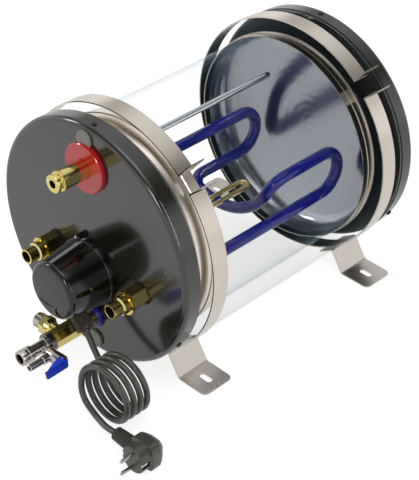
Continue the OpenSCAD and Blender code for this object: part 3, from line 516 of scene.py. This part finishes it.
# hot outlet: a grooved barrel, a neck and a hose nose
outletSet = {
    "centre": (-3, 0, 109),
    "barrel": 12.8,
    "barrelEnd": -44.6,
    "groove": {"middle": -42.2, "depth": 1.1, "mouth": 0.6, "floor": 0.4},
    "neck": 9.8,
    "nose": 11.7,
    "noseStart": -48.2,
    "tip": -53.0,
    "bore": 5.4,
    "shank": 9.0,
    "shankEnd": 30.0,
    "tubeSeat": 4.1,
    "seatDepth": 8.0,
    "sides": 96,
}


def makeOutlet(s):
    tip, nose, noseStart, neck = s["tip"], s["nose"], s["noseStart"], s["neck"]
    barrel, barrelEnd, shankEnd = s["barrel"], s["barrelEnd"], s["shankEnd"]
    seatEnd = shankEnd - s["seatDepth"]
    profile = [
        (s["bore"], tip), (nose - 0.9, tip), (nose - 0.2, tip + 0.3), (nose, tip + 1),  # rounded nose
        (nose, noseStart - 0.7), (nose - 0.7, noseStart), (neck, noseStart + 0.3), (neck, barrelEnd - 0.2),
        (barrel - 1, barrelEnd), (barrel, barrelEnd + 0.8), *acrossGroove(barrel, s["groove"]),
        (barrel, 0), (s["shank"], 0), (s["shank"], shankEnd),
        (s["tubeSeat"], shankEnd), (s["tubeSeat"], seatEnd), (s["bore"], seatEnd - 1),  # seat and bore
    ]
    outlet = solid("hotOutlet", *turned(profile, s["centre"], s["sides"]), "brass")
    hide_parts("outlet_fitting")


makeOutlet(outletSet)


# chrome hose barb of the cold inlet: a ringed head, a pipe, and a port for the drain cock
barbSet = {
    "centre": (3, 0, -112),
    "mouth": 7.0,
    "head": 10.3,
    "groove": {"middle": -111.9, "depth": 1.1, "mouth": 1.7, "floor": 0.9},
    "pipe": 8.3,
    "tip": -122.0,
    "headEnd": -104.0,
    "collarY": -80.0,
    "collar": 9.7,
    "shank": 7.7,
    "shankEnd": -72.0,
    "portY": -89.0,
    "port": 5.5,
    "portFrom": 6.0,
    "portTo": 12.0,
    "sides": 96,
    "portSides": 32,
}


def makeBarb(s):
    head, tip, headEnd, pipe, mouth = s["head"], s["tip"], s["headEnd"], s["pipe"], s["mouth"]
    collarY, shankEnd = s["collarY"], s["shankEnd"]
    profile = [
        (mouth, tip), (head - 1.2, tip), (head - 0.3, tip + 0.4), (head, tip + 1.4),  # rounded tip
        *acrossGroove(head, s["groove"]),
        (head, headEnd - 0.8), (head - 0.8, headEnd), (pipe, headEnd + 0.4),
        (pipe, collarY - 3.5), (s["collar"], collarY - 3), (s["collar"], collarY), (s["shank"], collarY),
        (s["shank"], shankEnd), (mouth - 1.5, shankEnd), (mouth - 1.5, tip + 4), (mouth - 0.5, tip + 0.8),
    ]
    mesh = turned(profile, s["centre"], s["sides"])
    x, _, z = s["centre"]
    port = [(0, s["portFrom"]), (s["port"], s["portFrom"]), (s["port"], s["portTo"]), (0, s["portTo"])]
    turned(port, (x, s["portY"], z), s["portSides"], "x", mesh)
    barb = solid("hoseBarb", *mesh, "chrome")
    # the chrome copy with painted shade in its bore
    barb.data.materials[0] = finishes["barb_chrome_painted_bore_shade"]
    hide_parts("inlet_barb")


makeBarb(barbSet)


# drain cock: a flared body, and a lever with an upright blade and a flange over the body's end
drainSet = {
    "pivot": (0, -89, -112),
    "outline": [(0, 15), (6.2, 15), (7.4, 20), (8.6, 29), (9.2, 38), (9.2, 42.4), (8.7, 44.2), (7.6, 45.5),
                (6.2, 46), (2.6, 46), (2.6, 30), (0, 30)],
    "innerX": 47.6,
    "outerX": 49.8,
    "blade": [(-86, -105.3), (-85.2, -106.2), (-84.8, -116.4), (-86.2, -117.8), (-116.8, -118.6),
              (-118.2, -117.6), (-120.2, -107.8), (-119.4, -106.6)],
    "flange": [(49.8, -90.5, -106.2), (41.6, -91.2, -102.5), (45.2, -105.5, -104.1), (49.8, -119.6, -106.8)],
    "sheet": 1.5,
    "hub": 5.6,
    "hubX": 46.2,
    "hubEnd": 47.7,
    "spindle": 2.5,
    "spindleX": 31.0,
    "sides": 72,
    "hubSides": 40,
}


def makeDrain(s):
    body = solid("drainCock", *turned(s["outline"], s["pivot"], s["sides"], "x"), "chrome")
    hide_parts("drain_body")
    mesh = ([], [])
    inner, outer = ([atAxis(s[side], y, z) for y, z in s["blade"]] for side in ("innerX", "outerX"))
    under, over = ([atAxis(x, y, z + raised) for x, y, z in s["flange"]] for raised in (0, s["sheet"]))
    addPlate(inner, outer, mesh)
    addPlate(under, over, mesh)
    spindle = [(0, s["spindleX"]), (s["spindle"], s["spindleX"]), (s["spindle"], s["hubX"]),
               (s["hub"], s["hubX"]), (s["hub"], s["hubEnd"]), (0, s["hubEnd"])]
    turned(spindle, s["pivot"], s["hubSides"], "x", mesh)
    lever = solid("drainHandle", *mesh, "lever_blue", "drain_handle")
    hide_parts("drain_lever", "lever_screw")


makeDrain(drainSet)


# thermostat cover: a tapered cap with a round front edge, a finger scoop and a round recess,
# and its base with a screw ear
capSet = {
    "centre": (0, 0, -41),
    "front": -66.0,
    "frontRadius": 39.0,
    "edge": 6.5,
    "edgeStep": 9,
    "baseRadius": 45.0,
    "baseHeight": 9.0,
    "wall": 2.5,
    "lip": 46.2,
    "lipRound": 1.2,
    "lipMiddle": 0.35,
    "hole": 30.0,
    "scoop": (-9, -61.5),
    "scoopOut": 0.3,
    "scoopHalves": (19, 1.6, 3.0),
    "scoopSides": 64,
    "scoopRings": 24,
    "recess": (13, -65),
    "recessRadius": 6.6,
    "recessDepth": 1.2,
    "recessSides": 48,
    "earAngle": 110,
    "earPlace": 46.8,
    "ear": 4.6,
    "screwPlace": 48.0,
    "screw": 2.1,
    "screwShank": 1.5,
    "sides": 128,
    "earSides": 40,
    "screwSides": 24,
}


def makeCapCutters(s):
    bpy.ops.mesh.primitive_uv_sphere_add(segments=s["scoopSides"], ring_count=s["scoopRings"], radius=1)
    scoop = bpy.context.object
    scoop.location = atAxis(s["scoop"][0], s["front"] - s["scoopOut"], s["scoop"][1])
    scoop.scale = [v / 1000 for v in s["scoopHalves"]]
    bpy.ops.mesh.primitive_cylinder_add(vertices=s["recessSides"], radius=s["recessRadius"] / 1000,
                                        depth=2 * s["recessDepth"] / 1000)
    recess = bpy.context.object
    recess.location = atAxis(s["recess"][0], s["front"], s["recess"][1])
    recess.rotation_euler = (math.pi / 2, 0, 0)
    return scoop, recess


def makeCap(s):
    x, _, z = s["centre"]
    edge, front, deep, lip, ear, head = s["edge"], s["front"], s["baseHeight"], s["lip"], s["ear"], s["screw"]
    corner = s["frontRadius"] - edge
    profile = [(s["baseRadius"], -deep)]
    profile += [(corner + edge * math.cos(math.radians(a)), front + edge - edge * math.sin(math.radians(a)))
                for a in range(0, 91, s["edgeStep"])]
    profile += [(0, front), (0, front + s["wall"]), (corner, front + s["wall"] + 1),
                (s["baseRadius"] - s["wall"], -deep)]
    mesh = turned(profile, s["centre"], s["sides"])
    cap = solid("thermostatCap", *mesh, "cap_black", cutters=makeCapCutters(s))
    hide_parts("thermostat_cover")

    base = [(s["hole"], 0), (lip, 0), (lip, s["lipRound"] - deep),
            (lip - s["lipMiddle"], s["lipMiddle"] - deep), (lip - s["lipRound"], -deep), (s["hole"], -deep)]
    mesh = turned(base, s["centre"], s["sides"])
    outX, outZ = math.cos(math.radians(s["earAngle"])), math.sin(math.radians(s["earAngle"]))
    turned([(0, 0), (ear, 0), (ear, 1 - deep), (ear - 1, -deep), (0, -deep)],
           (x + s["earPlace"] * outX, 0, z + s["earPlace"] * outZ), s["earSides"], "y", mesh)
    plate = solid("thermostatBase", *mesh, "cap_black")
    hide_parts("cover_base")

    panHead = [(0, 0), (s["screwShank"], 0), (s["screwShank"], -deep), (head, -deep), (head, -deep - 0.8),
               (head * 0.6, -deep - 1.5), (0, -deep - 1.7)]
    screwCentre = (x + s["screwPlace"] * outX, 0, z + s["screwPlace"] * outZ)
    screw = solid("capScrew", *turned(panHead, screwCentre, s["screwSides"]), "screw_steel")
    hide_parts("cover_base_screw")


makeCap(capSet)
print("fittings made")


def newTree(name, inputs):
    tree = bpy.data.node_groups.new(name, "GeometryNodeTree")
    for label, kind in inputs.items():
        tree.interface.new_socket(label, in_out="INPUT", socket_type="NodeSocket" + kind)
    tree.interface.new_socket("Geometry", in_out="OUTPUT", socket_type="NodeSocketGeometry")
    return tree, addNode(tree, "NodeGroupInput")


def closeTree(tree, last, output, material):
    real = addNode(tree, "GeometryNodeRealizeInstances")
    coloured = addNode(tree, "GeometryNodeSetMaterial", Material=material)
    wire(tree, last, output, real, "Geometry")
    wire(tree, real, "Geometry", coloured, "Geometry")
    wire(tree, coloured, "Geometry", addNode(tree, "NodeGroupOutput"), "Geometry")
    return tree


def settle(name, tree, values):
    # runs a tree once on an empty mesh and keeps what it makes as a plain mesh
    holder = meshPiece(name + "Maker", [], [])
    modifier = holder.modifiers.new("maker", "NODES")
    modifier.node_group = tree
    for item in tree.interface.items_tree:
        if item.item_type == "SOCKET" and item.in_out == "INPUT":
            modifier[item.identifier] = values[item.name]
    view = bpy.context.evaluated_depsgraph_get()
    mesh = bpy.data.meshes.new_from_object(holder.evaluated_get(view))
    piece = bpy.data.objects.new(name, mesh)
    sceneNow.collection.objects.link(piece)
    holder.modifiers.remove(modifier)
    bpy.data.objects.remove(holder)
    return piece


# rim screws: one pan head, set round each cover
screwSet = {
    "count": 3,
    "radius": 165.05,
    "headRadius": 3.6,
    "headHeight": 2.2,
    "rim": 1.2,
    "recessRadius": 1.0,
    "recessFloor": 0.9,
    "sides": 24,
    "frontY": 11.0,
    "rearY": 411.0,
}


def makeScrewHead(s):  # rings from the foot of the head up to its recess, closed by the recess's floor
    r, h, recess, sides = s["headRadius"], s["headHeight"], s["recessRadius"], s["sides"]
    rings = [(r, 0), (r, s["rim"]), (r - 0.8, h - 0.3), (recess + 1, h), (recess, h - 0.1),
             (recess, s["recessFloor"])]
    turns = [math.tau * k / sides for k in range(sides)]
    verts = [Vector((radius * math.cos(turn), radius * math.sin(turn), height)) / 1000
             for radius, height in rings for turn in turns]
    floor = len(verts) - sides
    faces = [face for first in range(0, floor, sides) for face in ringFaces(first, sides)]
    return meshPiece("screwHead", verts, faces + [tuple(range(floor, len(verts)))])


def ringTree(name, piece, material):  # copies of a piece in a ring about Y, each facing outwards
    tree, given = newTree(name, {"Count": "Int", "Ring Radius": "Float", "Centre": "Vector"})
    circle = addNode(tree, "GeometryNodeMeshCircle")
    stand = addNode(tree, "GeometryNodeTransform")
    stand.inputs["Rotation"].default_value = (math.pi / 2, -math.pi / 2, 0)  # first copy at the top
    source = addNode(tree, "GeometryNodeObjectInfo", Object=piece)
    where = addNode(tree, "GeometryNodeInputPosition")
    aim = addNode(tree, "FunctionNodeAlignRotationToVector", axis="Z")
    placed = addNode(tree, "GeometryNodeInstanceOnPoints")
    moved = addNode(tree, "GeometryNodeTransform")
    wire(tree, given, "Count", circle, "Vertices")
    wire(tree, given, "Ring Radius", circle, "Radius")
    wire(tree, circle, "Mesh", stand, "Geometry")
    wire(tree, stand, "Geometry", placed, "Points")
    wire(tree, source, "Geometry", placed, "Instance")
    wire(tree, where, "Position", aim, "Vector")
    wire(tree, aim, "Rotation", placed, "Rotation")
    wire(tree, placed, "Instances", moved, "Geometry")
    wire(tree, given, "Centre", moved, "Translation")
    return closeTree(tree, moved, "Geometry", material)


def makeRimScrews(s):
    head = makeScrewHead(s)
    for name, y, cadNode in (("frontScrews", s["frontY"], "cover_screws_front"),
                             ("rearScrews", s["rearY"], "cover_screws_rear")):
        tree = ringTree(name, head, finishes["black_steel"])
        screws = settle(name, tree, {"Count": s["count"], "Ring Radius": s["radius"] / 1000,
                                     "Centre": atAxis(0, y, 0)})
        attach(screws, "heater")
        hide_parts(cadNode)
    bpy.data.objects.remove(head)


makeRimScrews(screwSet)
print("rim screws set")


# ribbed strain relief of the plug
reliefSet = {
    "ribs": 9,
    "ribShare": 0.56,
    "startX": 181.0,
    "endX": 152.0,
    "fromFace": -100.0,
    "height": 19.0,
    "radius": 10.4,
    "narrower": 1.6,
    "groove": 1.7,
    "stepsPerRib": 10,
    "sides": 40,
    "edgeAngle": 34,
}


def ribTree(name, material):  # a straight sleeve that narrows along it and steps in between its ribs
    tree, given = newTree(name, {"Start": "Vector", "End": "Vector", "Points": "Int", "Sides": "Int",
                                 "Ribs": "Int", "Rib Share": "Float", "Radius": "Float",
                                 "Narrower": "Float", "Groove": "Float"})
    line = addNode(tree, "GeometryNodeCurvePrimitiveLine")
    points = addNode(tree, "GeometryNodeResampleCurve")
    circle = addNode(tree, "GeometryNodeCurvePrimitiveCircle", Radius=1)
    tube = addNode(tree, "GeometryNodeCurveToMesh", **{"Fill Caps": True})
    along = addNode(tree, "GeometryNodeSplineParameter").outputs["Factor"]
    ribPlace = worked(tree, "FRACT", worked(tree, "MULTIPLY", along, given.outputs["Ribs"]))
    between = worked(tree, "GREATER_THAN", ribPlace, given.outputs["Rib Share"])
    cutIn = worked(tree, "MULTIPLY", between, given.outputs["Groove"])
    taper = worked(tree, "MULTIPLY", along, given.outputs["Narrower"])
    radius = worked(tree, "SUBTRACT", worked(tree, "SUBTRACT", given.outputs["Radius"], taper), cutIn)
    wire(tree, given, "Start", line, "Start")
    wire(tree, given, "End", line, "End")
    wire(tree, line, "Curve", points, "Curve")
    wire(tree, given, "Points", points, "Count")
    wire(tree, given, "Sides", circle, "Resolution")
    wire(tree, points, "Curve", tube, "Curve")
    wire(tree, circle, "Curve", tube, "Profile Curve")
    tree.links.new(radius, tube.inputs["Scale"])
    return closeTree(tree, tube, "Mesh", material)


def makeRelief(s):
    values = {
        "Start": atFloor(s["startX"], s["fromFace"], s["height"]),
        "End": atFloor(s["endX"], s["fromFace"], s["height"]),
        "Points": s["ribs"] * s["stepsPerRib"] + 1,
        "Sides": s["sides"],
        "Ribs": s["ribs"],
        "Rib Share": s["ribShare"],
        "Radius": s["radius"] / 1000,
        "Narrower": s["narrower"] / 1000,
        "Groove": s["groove"] / 1000,
    }
    sleeve = settle("strainRelief", ribTree("ribbedSleeve", finishes["cord_black"]), values)
    smoothed(sleeve, s["edgeAngle"])
    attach(sleeve, "heater")
    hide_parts("plug_strain_relief")
    return sleeve


strainRelief = makeRelief(reliefSet)


# plug: a round front that squares off behind a step, grooved for the earth contacts
plugSet = {
    "face": (198, -118, 19),
    "sections": [(0, 16.8, 2), (0.4, 17.6, 2), (1.2, 18, 2), (13.8, 18, 2), (14.4, 18.3, 2.6),
                 (15.2, 19, 4.2), (28, 19, 4.2), (31, 17.6, 4), (35.6, 14, 3.6), (37.2, 12.4, 3.4),
                 (38, 10.5, 3.2)],
    "groove": (5, 13, 7),
    "grooveX": 17.5,
    "grooveY": 4.5,
    "edgeAngle": 26,
    "sides": 96,
}


def squared(value, power):
    return math.copysign(abs(value) ** (2 / power), value)


def makePlug(s):
    x, y, z = s["face"]
    count = s["sides"]
    verts, faces = [], []
    for distance, half, power in s["sections"]:  # a power of 2 is round, and more is squarer
        for turn in (math.tau * k / count for k in range(count)):
            verts.append(atFloor(x + half * squared(math.cos(turn), power), y + distance,
                                 z + half * squared(math.sin(turn), power)))
    for first in range(0, len(verts) - count, count):
        faces += ringFaces(first, count)
    faces += [tuple(range(count)), tuple(range(len(verts) - count, len(verts)))]
    grooves = []
    for side in (-1, 1):
        place = atFloor(x + side * s["grooveX"], y + s["grooveY"], z)
        bpy.ops.mesh.primitive_cube_add(size=1, location=place)
        bpy.context.object.scale = [v / 1000 for v in s["groove"]]
        grooves.append(bpy.context.object)
    plug = solid("plugBody", verts, faces, "cord_black", edgeAngle=s["edgeAngle"], cutters=grooves)
    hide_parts("plug_body")
    return plug


plugBody = makePlug(plugSet)
print("plug and strain relief made")


# a grey floor that keeps the shadow and glows for the camera, so that it looks white
stageSet = {
    "size": 30,
    "below": 0.0005,
    "shade": 0.45,
    "rough": 0.9,
    "level": 0.1,
    "seenGlow": 0.78,
    "mirroredGlow": 0.5,
}


def makeStage(s):
    bpy.ops.mesh.primitive_plane_add(size=s["size"], location=(0, 0, -s["below"]))
    floor = bpy.context.object
    floor.name = "paleFloor"
    shade = s["shade"]
    material = newMaterial("paleFloor", {"Base Color": (shade, shade, shade, 1), "Roughness": s["rough"],
                                         "Specular IOR Level": s["level"], "Emission Color": (1, 1, 1, 1)})
    tree = material.node_tree
    rays = addNode(tree, "ShaderNodeLightPath").outputs
    seen = worked(tree, "MAXIMUM", rays["Is Camera Ray"], rays["Is Transmission Ray"])
    seenGlow = worked(tree, "MULTIPLY", seen, s["seenGlow"])
    mirroredGlow = worked(tree, "MULTIPLY", rays["Is Glossy Ray"], s["mirroredGlow"])
    glow = worked(tree, "MAXIMUM", seenGlow, mirroredGlow)
    tree.links.new(glow, shaderOf(material).inputs["Emission Strength"])
    floor.data.materials.append(material)


# brightness of the room at heights from 0, straight down, to 1, straight up:
# white low down, a dark band above it that is lighter behind the heater, and a pale top
roomSet = {
    "around": [(0.62, 1.0), (0.72, 0.75), (0.78, 0.12), (0.88, 0.12), (0.95, 1.0)],
    "behind": [(0.6, 1.0), (0.68, 0.5), (0.75, 0.55), (0.84, 0.9), (0.94, 1.0)],
    "behindFrom": 0.15,
    "behindTo": 0.95,
}


def makeRoom(s):
    world = bpy.data.worlds.new("paleRoom")
    sceneNow.world = world
    world.use_nodes = True
    tree = world.node_tree
    place = addNode(tree, "ShaderNodeTexCoord")
    apart = addNode(tree, "ShaderNodeSeparateXYZ")
    height = addNode(tree, "ShaderNodeMapRange", **{"From Min": -1})
    share = addNode(tree, "ShaderNodeMapRange", **{"From Min": s["behindFrom"], "From Max": s["behindTo"]})
    mixed = addNode(tree, "ShaderNodeMix", data_type="RGBA")
    wire(tree, place, "Generated", apart, 0)
    wire(tree, apart, "Z", height, "Value")
    for levels, socket in ((s["around"], "A"), (s["behind"], "B")):
        ramp = addNode(tree, "ShaderNodeValToRGB")
        ramp.color_ramp.elements[0].color = (1, 1, 1, 1)
        for position, level in levels:
            ramp.color_ramp.elements.new(position).color = (level, level, level, 1)
        wire(tree, height, "Result", ramp, "Fac")
        wire(tree, ramp, "Color", mixed, socket)
    tree.links.new(worked(tree, "SUBTRACT", apart.outputs["Y"], apart.outputs["X"]), share.inputs["Value"])
    wire(tree, share, "Result", mixed, "Factor")
    wire(tree, mixed, "Result", tree.nodes["Background"], "Color")


lamps = {
    "softTop": {"place": (0.2, -0.3, 2.4), "aim": (0, 0, 0.1), "size": (1.4, 1.0), "power": 6},
    "stripLeft": {"place": (-1.7, -1.0, 1.15), "aim": (0, 0, 0.15), "size": (0.26, 0.5), "power": 5},
    "stripFront": {"place": (0.75, -1.75, 1.15), "aim": (0, 0, 0.15), "size": (0.26, 0.5), "power": 5},
    "softRight": {"place": (2.0, -0.2, 1.1), "aim": (0, 0, 0.15), "size": (0.4, 1.4), "power": 5},
}


def addLamp(name, s):
    data = bpy.data.lights.new(name, "AREA")
    data.shape = "RECTANGLE"
    data.size, data.size_y = s["size"]
    data.energy = s["power"]
    lamp = bpy.data.objects.new(name, data)
    lamp.location = s["place"]
    lamp.rotation_euler = (Vector(s["aim"]) - Vector(s["place"])).to_track_quat("-Z", "Y").to_euler()
    sceneNow.collection.objects.link(lamp)


makeStage(stageSet)
makeRoom(roomSet)
for lampName, lampSet in lamps.items():
    addLamp(lampName, lampSet)
print("stage and lamps set")
